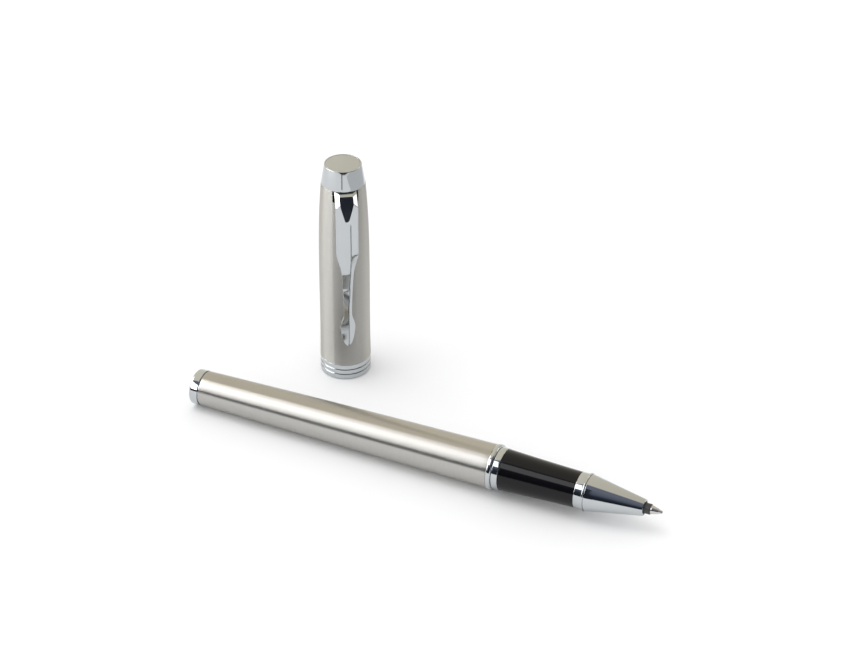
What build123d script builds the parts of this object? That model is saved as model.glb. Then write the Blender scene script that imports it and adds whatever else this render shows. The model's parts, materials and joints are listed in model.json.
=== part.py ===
from build123d import *
import math
import os

# Rollerball pen with its cap off.  The pen lies on the table with its nose towards +X, touching
# down on the tail cap and on the bead at the barrel mouth.  The cap stands on its open mouth
# behind the pen.  Z = 0 is the table, and the origin is the middle of the whole set's footprint.
# Pieces of the pen are drawn about +Z with height counted from the tail joint of the barrel,
# pieces of the cap about +Z with height counted from its mouth, and both are then put in place.

# ---- driving dimensions, mm ---------------------------------------------------------------
# layout on the table
AXIS_SPACING = 30.0          # pen axis to cap axis
CAP_ALONG_PEN = 23.8         # cap axis forward of the barrel's tail joint
CLIP_BEARING = 33.0          # clip direction, degrees from -Y towards +X

# barrel
BARREL_LENGTH = 78.3
BARREL_TAIL_R = 4.40
BARREL_MOUTH_R = 5.40
BARREL_BELLY = 0.13          # how far the side bows out of a straight cone
BARREL_WALL = 0.55
TAIL_CAP_LENGTH = 2.6
TAIL_CAP_R = 4.47
TAIL_CAP_ROUND = 0.55
TAIL_CAP_BEVEL = 0.15        # the shadow line where it meets the barrel
TAIL_STUD_R = 1.6
TAIL_BUSH_LENGTH = 1.5
LIP_BEAD_R = 5.66
LIP_BEAD_LENGTH = 1.3
LIP_BEAD_ROUND = 0.35

# section, the part held when writing
THREAD_LENGTH = 7.0
THREAD_CREST_R = 4.33
THREAD_DEPTH = 0.22
THREAD_PITCH = 0.9
THREAD_RUNOUT = 0.5          # plain length in front of the thread
SLEEVE_TAIL = 1.2            # plain length behind the thread
MOUTH_BUSH_LENGTH = 9.5
RETAINING_RIB_HEIGHT = 0.12
RETAINING_RIB_LENGTH = 0.35
SLEEVE_WALL = 0.5
COLLAR_REAR_R = 5.30
COLLAR_FRONT_R = 5.14
COLLAR_LENGTH = 1.6
GRIP_LENGTH = 18.9
GRIP_REAR_R = 5.06
GRIP_FRONT_R = 4.36
GRIP_WAIST = 0.06            # how far the side dips below a straight cone
GRIP_BEVEL = 0.15
FRONT_RING_LENGTH = 1.95
FRONT_RING_R = 4.42
CONE_BEAD_R = 4.66
CONE_BEAD_LENGTH = 0.6
CONE_LENGTH = 13.8
CONE_REAR_R = 4.48
CONE_FRONT_R = 1.98
CONE_WALL = 0.95
CONE_GROOVE = 0.16           # fine line between bead and cone
CONE_SPIGOT = 0.6            # length of cone pressed into the grip
NOSE_BUSH_R = 1.62
NOSE_BUSH_LENGTH = 3.9
NOSE_BUSH_RECESS = 0.15

# refill
REFILL_LENGTH = 116.0
REFILL_R = 3.10
REFILL_WALL = 0.45
REFILL_PLUG_LENGTH = 4.0
FEED_LENGTH = 10.0
FEED_SPIGOT_LENGTH = 5.0
POINT_COLLAR_R = 1.28
POINT_COLLAR_LENGTH = 7.6
POINT_COLLAR_PROUD = 1.55    # how far it stands out of the nose cone
POINT_LENGTH = 2.7
POINT_REAR_R = 1.04
POINT_FRONT_R = 0.42
POINT_STEM_R = 0.62
POINT_STEM_LENGTH = 4.0
BALL_R = 0.35
BALL_PROUD = 0.13
WICK_R = 0.30
SPRING_WIRE_R = 0.17
SPRING_R = 2.2
SPRING_TURNS = 3.5

# cap
CAP_HEIGHT = 59.5
CAP_MOUTH_R = 6.45
CAP_WAIST_R = 6.33           # at two fifths of the tube
CAP_SHOULDER_R = 6.08        # at four fifths of the tube
CROWN_BASE_R = 5.46
CAP_WALL = 0.55
CAP_LIP_HEIGHT = 4.25
CAP_LIP_ROUND = 0.45
LIP_GROOVE_WIDTH = 0.28
LIP_GROOVE_DEPTH = 0.22
LIP_GROOVE_PITCH = 1.35
CROWN_HEIGHT = 5.1
CROWN_TOP_R = 4.55
CROWN_EDGE_ROUND = 0.25
CROWN_DISC_R = 4.25
CROWN_DISC_THICKNESS = 0.6
CROWN_SCREW_R = 1.25
CROWN_SCREW_HEAD_R = 2.1
CROWN_SCREW_HEAD_HEIGHT = 1.2
CROWN_SCREW_GRIP = 2.6       # length of the screw held in the crown
CROWN_BUSH_HEIGHT = 5.6
INNER_CAP_SEAT_HEIGHT = 24.0 # height where the inner cap narrows onto the nose
INNER_CAP_TAPER = 2.5
INNER_CAP_FLOOR = 1.0
INNER_CAP_WALL = 0.55
INNER_CAP_HEADROOM = 2.0     # above the writing point when capped

# clip
CLIP_WIDTH = 5.5
CLIP_ROOT_HEIGHT = 1.25
CLIP_PEAK_R = 8.35           # outermost reach, just below the fold
CLIP_THICKNESS = 0.85
CLIP_FOLD = 0.9              # how far the top edge is set back from the outermost reach
CLIP_SHOULDER_HEIGHT = 5.5   # top of the clip down to its outermost reach
CLIP_BLADE_TAPER_TOP = 38.0  # heights above the mouth along the clip
CLIP_BLADE_TAPER_END = 28.7
CLIP_LEAF_START = 20.5
CLIP_LEAF_WIDEST = 16.6
CLIP_TIP = 10.8
CLIP_STEM_WIDTH = 1.8
CLIP_LEAF_WIDTH = 3.7
NOTCH_HEIGHT = 2.9

# clearances
PRESS = 0.0                  # pieces pushed together
THREAD_CLEARANCE = 0.06      # radial, male crest to female bore
SPIN_CLEARANCE = 0.05        # radial, ring turning on its sleeve
FACE_GAP = 0.05              # between faces that part or turn
GRIP_GAP = 0.10              # shadow line behind the grip
REFILL_CLEARANCE = 0.25      # radial, refill in the section
POINT_CLEARANCE = 0.08       # radial, refill collar in the nose bush
BALL_CLEARANCE = 0.02        # radial, ball in its socket
CAP_SLIDE_CLEARANCE = 0.08   # radial, cap over the section
NOTCH_CLEARANCE = 0.20       # each side of the clip root
CLIP_CLEARANCE = 0.12        # clip root to anchor, crown and notch floor
CLIP_STANDOFF = 0.30         # clip tip to the cap tube
SCREW_CLEARANCE = 0.05       # radial, crown screw in what it passes through
ANCHOR_CLEARANCE = 0.35      # radial, anchor washer in the cap tube

# ---- places worked out from the dimensions -----------------------------------------------
RUN_LIP = BARREL_LENGTH + LIP_BEAD_LENGTH
RUN_COLLAR = RUN_LIP + FACE_GAP
RUN_COLLAR_END = RUN_COLLAR + COLLAR_LENGTH
RUN_GRIP = RUN_COLLAR_END + GRIP_GAP
RUN_GRIP_END = RUN_GRIP + GRIP_LENGTH
RUN_RING_END = RUN_GRIP_END + FRONT_RING_LENGTH
RUN_CONE = RUN_RING_END + CONE_BEAD_LENGTH
RUN_CONE_END = RUN_CONE + CONE_LENGTH
RUN_POINT = RUN_CONE_END + POINT_COLLAR_PROUD  # front face of the refill's collar
RUN_TIP = RUN_POINT + POINT_LENGTH         # front face of the writing point
RUN_BALL = RUN_TIP + BALL_PROUD - BALL_R
RUN_REFILL = RUN_BALL + BALL_R - REFILL_LENGTH
RUN_COLLAR_REAR = RUN_POINT - POINT_COLLAR_LENGTH
RUN_FEED = RUN_COLLAR_REAR - FEED_LENGTH

BORE_R = THREAD_CREST_R + THREAD_CLEARANCE             # smooth bore of the mouth bush
SLEEVE_BORE_R = REFILL_R + REFILL_CLEARANCE
SLEEVE_FRONT_R = SLEEVE_BORE_R + SLEEVE_WALL
SLEEVE_REAR_R = THREAD_CREST_R - THREAD_DEPTH
RIB_R = THREAD_CREST_R + RETAINING_RIB_HEIGHT
LIP_BORE_R = RIB_R + SPIN_CLEARANCE

CROWN_Z = CAP_HEIGHT - CROWN_HEIGHT
ANCHOR_THICKNESS = CLIP_ROOT_HEIGHT + 2 * CLIP_CLEARANCE
ANCHOR_R = CROWN_BASE_R - CAP_WALL - ANCHOR_CLEARANCE
INNER_BORE_R = COLLAR_REAR_R + CAP_SLIDE_CLEARANCE
NOSE_BORE_R = CONE_BEAD_R + CAP_SLIDE_CLEARANCE
MOUTH_RECESS_R = LIP_BEAD_R + CAP_SLIDE_CLEARANCE
SECTION_REACH = RUN_BALL + BALL_R - RUN_LIP            # barrel lip to ball
MOUTH_RECESS_DEPTH = LIP_BEAD_LENGTH + 0.2
INNER_CAP_TOP = LIP_BEAD_LENGTH + SECTION_REACH + INNER_CAP_HEADROOM

LIP_TOUCH = BARREL_LENGTH + LIP_BEAD_ROUND             # where the bead meets the table
TAIL_TOUCH = TAIL_CAP_ROUND - TAIL_CAP_LENGTH          # where the tail cap meets it
PEN_TILT = math.asin((LIP_BEAD_R - TAIL_CAP_R) / (LIP_TOUCH - TAIL_TOUCH))
PEN_Y = (LIP_BEAD_R - CAP_MOUTH_R - AXIS_SPACING) / 2
CAP_Y = PEN_Y + AXIS_SPACING


# ---- helpers -----------------------------------------------------------------------------
def turned(points, rounds=()):
    """Solid of revolution about Z of a closed (radius, height) outline.

    rounds lists (corner number, radius) for the corners that are rounded.
    """
    profile = make_face(Polyline(*points, close=True))
    for corner, size in rounds:
        nearest = profile.vertices().sort_by_distance(Vector(*points[corner]))[0]
        profile = fillet(nearest, size)
    return revolve(Plane.XZ * profile, Axis.Z)


def tube(outer, inner, low, high):
    return turned([(inner, low), (outer, low), (outer, high), (inner, high)])


def rod(radius, low, high):
    return turned([(0, low), (radius, low), (radius, high), (0, high)])


def coil(profile, radius, pitch, low, high):
    """Sweep a sketch, drawn as (radial, axial), along a helix about Z."""
    path = Helix(pitch, high - low, radius, center=(0, 0, low))
    start = Plane(origin=path @ 0, x_dir=(1, 0, 0), z_dir=path % 0)
    return sweep(start * profile, path=path, is_frenet=True)


def thread_ridge(root, crest, low, high):
    """Helical ridge with a flat crest, from inside the root radius out to the crest radius."""
    height = crest - root
    foot = THREAD_PITCH * 0.36
    flat = THREAD_PITCH * 0.12
    bite = 0.06
    section = make_face(Polyline((-bite, -foot), (height, -flat), (height, flat), (-bite, foot),
                                 close=True))
    return coil(section, root, THREAD_PITCH, low, high)


def bowed_side(low, high, low_r, high_r, bow):
    """Arc from (low_r, low) to (high_r, high) that leaves the straight line by bow."""
    middle = ((low_r + high_r) / 2 + bow, (low + high) / 2)
    return ThreePointArc((low_r, low), middle, (high_r, high))


def bowed_solid(low, high, low_r, high_r, bow):
    side = bowed_side(low, high, low_r, high_r, bow)
    outline = [side, Line((high_r, high), (0, high)), Line((0, high), (0, low)),
               Line((0, low), (low_r, low))]
    return revolve(Plane.XZ * make_face(outline), Axis.Z)


def barrel_blank(inset):
    return bowed_solid(0, BARREL_LENGTH, BARREL_TAIL_R - inset, BARREL_MOUTH_R - inset,
                       BARREL_BELLY)


def cap_blank(inset):
    """Outside of the cap tube, or with an inset the space inside it."""
    rise = CROWN_Z - CAP_LIP_HEIGHT
    side = Spline((CAP_MOUTH_R - inset, CAP_LIP_HEIGHT),
                  (CAP_WAIST_R - inset, CAP_LIP_HEIGHT + 0.4 * rise),
                  (CAP_SHOULDER_R - inset, CAP_LIP_HEIGHT + 0.8 * rise),
                  (CROWN_BASE_R - inset, CROWN_Z))
    outline = [side, Line((CROWN_BASE_R - inset, CROWN_Z), (0, CROWN_Z)),
               Line((0, CROWN_Z), (0, CAP_LIP_HEIGHT)),
               Line((0, CAP_LIP_HEIGHT), (CAP_MOUTH_R - inset, CAP_LIP_HEIGHT))]
    return revolve(Plane.XZ * make_face(outline), Axis.Z)


# ---- barrel ------------------------------------------------------------------------------
def barrel_tube():
    return barrel_blank(0) - barrel_blank(BARREL_WALL)


def tail_cap():
    body = turned([(0, -TAIL_CAP_LENGTH), (TAIL_CAP_R, -TAIL_CAP_LENGTH), (TAIL_CAP_R, -TAIL_CAP_BEVEL),
                   (TAIL_CAP_R - TAIL_CAP_BEVEL, 0), (0, 0)], [(1, TAIL_CAP_ROUND)])
    return body + rod(TAIL_STUD_R, -TAIL_CAP_BEVEL, TAIL_BUSH_LENGTH)


def tail_bush():
    bush = tube(BARREL_MOUTH_R, TAIL_STUD_R + PRESS, 0, TAIL_BUSH_LENGTH)
    return bush & barrel_blank(BARREL_WALL)


def refill_spring():
    low = TAIL_BUSH_LENGTH + SPRING_WIRE_R + 0.02
    high = RUN_REFILL - SPRING_WIRE_R - 0.1
    wire = Circle(SPRING_WIRE_R)
    return coil(wire, SPRING_R, (high - low) / SPRING_TURNS, low, high)


def mouth_bush():
    low = BARREL_LENGTH - MOUTH_BUSH_LENGTH
    blank = tube(BARREL_MOUTH_R, BORE_R, low, BARREL_LENGTH) & barrel_blank(BARREL_WALL)
    groove_low = BARREL_LENGTH - THREAD_LENGTH
    return blank - thread_ridge(BORE_R, BORE_R + THREAD_DEPTH / 2, groove_low,
                                BARREL_LENGTH - THREAD_PITCH)


def barrel_lip_ring():
    return turned([(LIP_BORE_R, BARREL_LENGTH), (LIP_BEAD_R, BARREL_LENGTH), (LIP_BEAD_R, RUN_LIP),
                   (LIP_BORE_R, RUN_LIP)], [(1, LIP_BEAD_ROUND), (2, 1.4 * LIP_BEAD_ROUND)])


# ---- section -----------------------------------------------------------------------------
def section_collar():
    return turned([(THREAD_CREST_R + SPIN_CLEARANCE, RUN_COLLAR), (COLLAR_REAR_R, RUN_COLLAR),
                   (COLLAR_FRONT_R, RUN_COLLAR_END),
                   (THREAD_CREST_R + SPIN_CLEARANCE, RUN_COLLAR_END)], [(1, 0.12), (2, 0.12)])


def section_sleeve():
    rear = RUN_LIP - THREAD_LENGTH - SLEEVE_TAIL
    thread_end = BARREL_LENGTH - THREAD_RUNOUT
    rib_end = RUN_COLLAR - FACE_GAP
    rib_start = rib_end - RETAINING_RIB_LENGTH
    front = RUN_GRIP_END - CONE_SPIGOT
    body = turned([(SLEEVE_BORE_R, rear), (SLEEVE_REAR_R, rear), (SLEEVE_REAR_R, thread_end),
                   (THREAD_CREST_R, thread_end), (THREAD_CREST_R, rib_start),
                   (RIB_R, rib_start), (RIB_R, rib_end), (THREAD_CREST_R, rib_end),
                   (THREAD_CREST_R, RUN_GRIP), (SLEEVE_FRONT_R, RUN_GRIP),
                   (SLEEVE_FRONT_R, front), (SLEEVE_BORE_R, front)])
    ridge = thread_ridge(SLEEVE_REAR_R, THREAD_CREST_R, rear + THREAD_PITCH,
                         thread_end - THREAD_PITCH / 2)
    return body + ridge


def grip():
    bevel_top = RUN_GRIP + GRIP_BEVEL
    side = bowed_side(bevel_top, RUN_GRIP_END, GRIP_REAR_R, GRIP_FRONT_R, -GRIP_WAIST)
    bore = SLEEVE_FRONT_R + PRESS
    outline = [side, Line((GRIP_FRONT_R, RUN_GRIP_END), (bore, RUN_GRIP_END)),
               Line((bore, RUN_GRIP_END), (bore, RUN_GRIP)),
               Line((bore, RUN_GRIP), (GRIP_REAR_R - GRIP_BEVEL, RUN_GRIP)),
               Line((GRIP_REAR_R - GRIP_BEVEL, RUN_GRIP), (GRIP_REAR_R, bevel_top))]
    return revolve(Plane.XZ * make_face(outline), Axis.Z)


def front_ring():
    return turned([(SLEEVE_FRONT_R, RUN_GRIP_END), (FRONT_RING_R, RUN_GRIP_END),
                   (FRONT_RING_R, RUN_RING_END), (SLEEVE_FRONT_R, RUN_RING_END)],
                  [(1, 0.1), (2, 0.1)])


def nose_cone():
    spigot_start = RUN_GRIP_END - CONE_SPIGOT
    groove = CONE_GROOVE
    bush_start = RUN_CONE_END - NOSE_BUSH_RECESS - NOSE_BUSH_LENGTH
    return turned([(SLEEVE_BORE_R, spigot_start), (SLEEVE_FRONT_R, spigot_start),
                   (SLEEVE_FRONT_R, RUN_RING_END), (CONE_BEAD_R, RUN_RING_END),
                   (CONE_BEAD_R, RUN_CONE - groove), (CONE_REAR_R - groove, RUN_CONE - groove),
                   (CONE_REAR_R - groove, RUN_CONE), (CONE_REAR_R, RUN_CONE),
                   (CONE_FRONT_R, RUN_CONE_END), (NOSE_BUSH_R, RUN_CONE_END),
                   (NOSE_BUSH_R, bush_start), (SLEEVE_BORE_R, RUN_CONE + CONE_WALL)],
                  [(3, 0.15), (4, 0.15), (8, 0.1)])


def nose_bush():
    high = RUN_CONE_END - NOSE_BUSH_RECESS
    return tube(NOSE_BUSH_R + PRESS, POINT_COLLAR_R + POINT_CLEARANCE, high - NOSE_BUSH_LENGTH, high)


# ---- refill ------------------------------------------------------------------------------
def refill_tube():
    return tube(REFILL_R, REFILL_R - REFILL_WALL, RUN_REFILL, RUN_FEED)


def refill_end_plug():
    vent_r = 0.5
    return tube(REFILL_R - REFILL_WALL + PRESS, vent_r, RUN_REFILL,
                RUN_REFILL + REFILL_PLUG_LENGTH)


def ink_reservoir():
    return rod(REFILL_R - REFILL_WALL, RUN_REFILL + REFILL_PLUG_LENGTH,
               RUN_FEED - FEED_SPIGOT_LENGTH)


def refill_feed():
    body = turned([(0, RUN_FEED - FEED_SPIGOT_LENGTH),
                   (REFILL_R - REFILL_WALL, RUN_FEED - FEED_SPIGOT_LENGTH),
                   (REFILL_R - REFILL_WALL, RUN_FEED), (REFILL_R, RUN_FEED),
                   (REFILL_R, RUN_FEED + 1.0), (POINT_COLLAR_R, RUN_COLLAR_REAR),
                   (0, RUN_COLLAR_REAR)])
    return body - rod(WICK_R, RUN_FEED - FEED_SPIGOT_LENGTH - 1, RUN_COLLAR_REAR + 1)


def point_collar():
    body = tube(POINT_COLLAR_R, WICK_R, RUN_COLLAR_REAR, RUN_POINT)
    edge = body.edges().filter_by(GeomType.CIRCLE).group_by(Axis.Z)[-1].sort_by(SortBy.RADIUS)[-1]
    body = chamfer(edge, 0.15)
    return body - rod(POINT_STEM_R, RUN_POINT - POINT_STEM_LENGTH, RUN_POINT + 1)


def writing_point():
    stem = rod(POINT_STEM_R, RUN_POINT - POINT_STEM_LENGTH, RUN_POINT)
    point = turned([(0, RUN_POINT), (POINT_REAR_R, RUN_POINT),
                    (POINT_REAR_R, RUN_POINT + 0.35), (POINT_FRONT_R, RUN_TIP - 0.2),
                    (BALL_R, RUN_TIP), (0, RUN_TIP)])
    socket = Pos(0, 0, RUN_BALL) * Sphere(BALL_R + BALL_CLEARANCE)
    channel = rod(WICK_R, RUN_POINT - POINT_STEM_LENGTH - 1, RUN_BALL)
    return stem + point - socket - channel


def ink_wick():
    return rod(WICK_R, RUN_FEED - FEED_SPIGOT_LENGTH, RUN_BALL - BALL_R - BALL_CLEARANCE)


def writing_ball():
    return Pos(0, 0, RUN_BALL) * Sphere(BALL_R)


# ---- cap ---------------------------------------------------------------------------------
def notch():
    """Space in the top edge of the cap tube that the clip root passes through."""
    half = CLIP_WIDTH / 2 + NOTCH_CLEARANCE
    low = CROWN_Z - NOTCH_HEIGHT
    size = (CROWN_BASE_R + 2, 2 * half, NOTCH_HEIGHT + 1)
    return Pos(size[0] / 2 + 2.5, 0, low + size[2] / 2) * Box(*size)


def cap_tube():
    return cap_blank(0) - cap_blank(CAP_WALL) - notch()


def cap_lip_ring():
    groove_rows = (CAP_LIP_HEIGHT - LIP_GROOVE_PITCH, CAP_LIP_HEIGHT - 2 * LIP_GROOVE_PITCH)
    ring = turned([(MOUTH_RECESS_R, 0), (CAP_MOUTH_R, 0), (CAP_MOUTH_R, CAP_LIP_HEIGHT),
                   (CAP_MOUTH_R - CAP_WALL, CAP_LIP_HEIGHT), (MOUTH_RECESS_R, CAP_LIP_HEIGHT)],
                  [(1, CAP_LIP_ROUND)])
    for row in groove_rows:
        ring -= tube(CAP_MOUTH_R + 1, CAP_MOUTH_R - LIP_GROOVE_DEPTH, row - LIP_GROOVE_WIDTH / 2,
                     row + LIP_GROOVE_WIDTH / 2)
    return ring


def inner_cap():
    """Plastic lining that slides over the section and shuts in the writing point."""
    low = MOUTH_RECESS_DEPTH
    top = INNER_CAP_TOP + INNER_CAP_FLOOR
    seat_top = INNER_CAP_SEAT_HEIGHT + INNER_CAP_TAPER
    skirt = turned([(INNER_BORE_R, low), (MOUTH_RECESS_R, low), (MOUTH_RECESS_R, CAP_LIP_HEIGHT),
                    (INNER_BORE_R, CAP_LIP_HEIGHT)])
    lining = turned([(INNER_BORE_R, CAP_LIP_HEIGHT), (CAP_MOUTH_R, CAP_LIP_HEIGHT),
                     (CAP_MOUTH_R, seat_top), (NOSE_BORE_R + INNER_CAP_WALL, seat_top + 1.5),
                     (NOSE_BORE_R + INNER_CAP_WALL, top), (0, top), (0, INNER_CAP_TOP),
                     (NOSE_BORE_R, INNER_CAP_TOP), (NOSE_BORE_R, seat_top),
                     (INNER_BORE_R, INNER_CAP_SEAT_HEIGHT)])
    return skirt + (lining & cap_blank(CAP_WALL))


def crown_bush():
    """Insert wedged in the narrow top of the tube, which the crown screw pulls against."""
    high = CROWN_Z - ANCHOR_THICKNESS
    blank = tube(CAP_MOUTH_R, CROWN_SCREW_R + SCREW_CLEARANCE, high - CROWN_BUSH_HEIGHT, high)
    head_well = rod(CROWN_SCREW_HEAD_R + SCREW_CLEARANCE, high - CROWN_BUSH_HEIGHT - 1,
                    high - CROWN_BUSH_HEIGHT + CROWN_SCREW_HEAD_HEIGHT)
    return (blank & cap_blank(CAP_WALL)) - head_well


def clip_anchor():
    """Washer clamped between bush and crown that the clip root bears against."""
    low = CROWN_Z - ANCHOR_THICKNESS
    return tube(ANCHOR_R, CROWN_SCREW_R + SCREW_CLEARANCE, low, CROWN_Z)


def crown():
    top_well = CAP_HEIGHT - CROWN_DISC_THICKNESS
    body = turned([(0, CROWN_Z), (CROWN_BASE_R, CROWN_Z), (CROWN_TOP_R, CAP_HEIGHT),
                   (CROWN_DISC_R, CAP_HEIGHT), (CROWN_DISC_R, top_well), (0, top_well)],
                  [(2, CROWN_EDGE_ROUND * 0.5)])
    return body - rod(CROWN_SCREW_R, CROWN_Z - 1, CROWN_Z + CROWN_SCREW_GRIP)


def crown_disc():
    return turned([(0, CAP_HEIGHT - CROWN_DISC_THICKNESS),
                   (CROWN_DISC_R, CAP_HEIGHT - CROWN_DISC_THICKNESS),
                   (CROWN_DISC_R, CAP_HEIGHT), (0, CAP_HEIGHT)], [(2, 0.08)])


def crown_screw():
    bush_low = CROWN_Z - ANCHOR_THICKNESS - CROWN_BUSH_HEIGHT
    head_top = bush_low + CROWN_SCREW_HEAD_HEIGHT
    screw = rod(CROWN_SCREW_R, head_top, CROWN_Z + CROWN_SCREW_GRIP)
    head = rod(CROWN_SCREW_HEAD_R, bush_low, head_top)
    slot_width = 0.6
    slot = Pos(0, 0, bush_low) * Box(3 * CROWN_SCREW_HEAD_R, slot_width, CROWN_SCREW_HEAD_HEIGHT)
    return screw + head - slot


# ---- clip --------------------------------------------------------------------------------
def clip_side():
    """Clip seen from the side, as (distance from the cap axis, height)."""
    top = CROWN_Z - CLIP_CLEARANCE
    root_low = top - CLIP_ROOT_HEIGHT
    root_r = ANCHOR_R + CLIP_CLEARANCE
    peak = top - CLIP_SHOULDER_HEIGHT
    shoulder = (top - root_low) + 0.95
    back_r = CLIP_PEAK_R - CLIP_THICKNESS
    tip_r = CAP_MOUTH_R + CLIP_STANDOFF
    leaf_r = tip_r + 0.15
    outside = [Line((root_r, root_low), (root_r, top)),
               Line((root_r, top), (CLIP_PEAK_R - CLIP_FOLD, top)),
               ThreePointArc((CLIP_PEAK_R - CLIP_FOLD, top), (CLIP_PEAK_R - 0.28 * CLIP_FOLD,
                                                              top - shoulder), (CLIP_PEAK_R, peak)),
               Spline((CLIP_PEAK_R, peak), (leaf_r + CLIP_THICKNESS, CLIP_LEAF_START),
                      (tip_r + CLIP_THICKNESS / 2, CLIP_TIP))]
    inside = [Line((tip_r + CLIP_THICKNESS / 2, CLIP_TIP), (tip_r, CLIP_TIP)),
              Spline((tip_r, CLIP_TIP), (leaf_r, CLIP_LEAF_START), (back_r, peak)),
              ThreePointArc((back_r, peak), (back_r - 0.28 * CLIP_FOLD, root_low - shoulder),
                            (back_r - 0.8 * CLIP_FOLD, root_low)),
              Line((back_r - 0.8 * CLIP_FOLD, root_low), (root_r, root_low))]
    return make_face(outside + inside)


def clip_front():
    """Clip seen from the front, as (across, height): blade, stem and a plain leaf tip."""
    half = CLIP_WIDTH / 2
    stem = CLIP_STEM_WIDTH / 2
    leaf = CLIP_LEAF_WIDTH / 2
    right = [Line((half, CROWN_Z), (half, CLIP_BLADE_TAPER_TOP)),
             Spline((half, CLIP_BLADE_TAPER_TOP), (stem + 0.25, CLIP_BLADE_TAPER_END + 2.0),
                    (stem, CLIP_BLADE_TAPER_END - 2.0), tangents=[(-0.12, -1), (0, -1)]),
             Line((stem, CLIP_BLADE_TAPER_END - 2.0), (stem, CLIP_LEAF_START)),
             Spline((stem, CLIP_LEAF_START), (leaf, CLIP_LEAF_WIDEST), (0, CLIP_TIP),
                    tangents=[(0, -1), (-1, -0.6)])]
    left = [mirror(edge, Plane.YZ) for edge in right]
    return make_face(right + left + [Line((-half, CROWN_Z), (half, CROWN_Z))])


def clip():
    side = extrude(Plane.XZ * clip_side(), CLIP_WIDTH, both=True)
    front = extrude(Plane.YZ * clip_front(), 2 * CLIP_PEAK_R)
    return side & front


# ---- putting the pieces in place ---------------------------------------------------------
PEN_PIECES = {
    "barrel_tube": barrel_tube,
    "tail_cap": tail_cap,
    "tail_bush": tail_bush,
    "refill_spring": refill_spring,
    "mouth_bush": mouth_bush,
    "barrel_lip_ring": barrel_lip_ring,
    "section_collar": section_collar,
    "section_sleeve": section_sleeve,
    "grip": grip,
    "front_ring": front_ring,
    "nose_cone": nose_cone,
    "nose_bush": nose_bush,
    "refill_tube": refill_tube,
    "refill_end_plug": refill_end_plug,
    "ink_reservoir": ink_reservoir,
    "refill_feed": refill_feed,
    "point_collar": point_collar,
    "writing_point": writing_point,
    "ink_wick": ink_wick,
    "writing_ball": writing_ball,
}
CAP_PIECES = {
    "cap_tube": cap_tube,
    "cap_lip_ring": cap_lip_ring,
    "inner_cap": inner_cap,
    "crown_bush": crown_bush,
    "clip_anchor": clip_anchor,
    "crown": crown,
    "crown_disc": crown_disc,
    "crown_screw": crown_screw,
    "clip": clip,
}


def pen_place():
    """Moves a pen piece from its own axis onto the table, nose towards +X."""
    tail_face_r = TAIL_CAP_R - TAIL_CAP_ROUND
    back = -TAIL_CAP_LENGTH * math.cos(PEN_TILT) - tail_face_r * math.sin(PEN_TILT)
    nose = RUN_BALL * math.cos(PEN_TILT) + BALL_R
    bead_flat_r = LIP_BEAD_R - LIP_BEAD_ROUND
    joint_height = (LIP_BEAD_ROUND + bead_flat_r * math.cos(PEN_TILT)
                    - LIP_TOUCH * math.sin(PEN_TILT))
    return Pos(-(back + nose) / 2, PEN_Y, joint_height) * Rot(0, 90 - math.degrees(PEN_TILT), 0)


def cap_place(pen):
    """Stands a cap piece on the table behind the pen, with the clip at its bearing."""
    return Pos(pen.position.X + CAP_ALONG_PEN, CAP_Y, 0) * Rot(0, 0, CLIP_BEARING - 90)


def write_piece(name, shape):
    solids = shape.solids()
    whole = solids[0] if len(solids) == 1 else Compound(children=list(solids))
    whole.label = name
    export_step(whole, "parts/" + name + ".step")


def main():
    os.makedirs("parts", exist_ok=True)
    pen = pen_place()
    cap = cap_place(pen)
    for name, make in PEN_PIECES.items():
        write_piece(name, pen * make())
    for name, make in CAP_PIECES.items():
        write_piece(name, cap * make())


main()
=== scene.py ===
import json
import math

import bmesh
import bpy
from mathutils import Matrix, Vector
from mathutils.bvhtree import BVHTree


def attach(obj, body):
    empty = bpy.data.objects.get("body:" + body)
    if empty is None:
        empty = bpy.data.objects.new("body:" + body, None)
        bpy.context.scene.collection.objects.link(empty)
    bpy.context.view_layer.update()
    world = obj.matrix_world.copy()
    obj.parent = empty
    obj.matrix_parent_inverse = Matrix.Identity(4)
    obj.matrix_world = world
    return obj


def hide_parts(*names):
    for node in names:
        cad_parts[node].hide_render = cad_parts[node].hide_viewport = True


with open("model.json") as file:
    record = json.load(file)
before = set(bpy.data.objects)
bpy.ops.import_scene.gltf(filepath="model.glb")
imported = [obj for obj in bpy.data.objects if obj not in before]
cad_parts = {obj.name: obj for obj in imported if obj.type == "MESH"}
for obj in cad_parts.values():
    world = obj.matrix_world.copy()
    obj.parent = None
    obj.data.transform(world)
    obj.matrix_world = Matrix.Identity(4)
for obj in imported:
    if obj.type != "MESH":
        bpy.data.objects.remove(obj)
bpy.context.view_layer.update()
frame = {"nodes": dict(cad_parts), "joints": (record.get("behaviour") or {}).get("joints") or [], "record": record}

MM = 0.001                       # the frame is in metres; pieces are drawn in millimetres
TURN_STEPS = 160                 # segments round a turned piece
UV_PER_MM = 0.02                 # texture length along a turned piece
PROBE = 0.01                     # how far inside an end face a radius is measured
UP = Vector((0, 0, 1))

# ---- places read from the frame ------------------------------------------------------------
JOINTS = {joint["name"]: joint for joint in frame["joints"]}
MOUNTS = {mount["name"]: mount for mount in frame["record"]["mounts"]}
PEN_DIRECTION = Vector(JOINTS["section_turn"]["axis"]).normalized()
PEN_POINT = Vector(JOINTS["section_turn"]["pos_m"])
CLIP_AXIS = Vector(JOINTS["clip_flex"]["axis"]).normalized()
CAP_POINT = Vector((MOUNTS["cap_bore"]["pos_m"][0], MOUNTS["cap_bore"]["pos_m"][1], 0))


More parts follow.
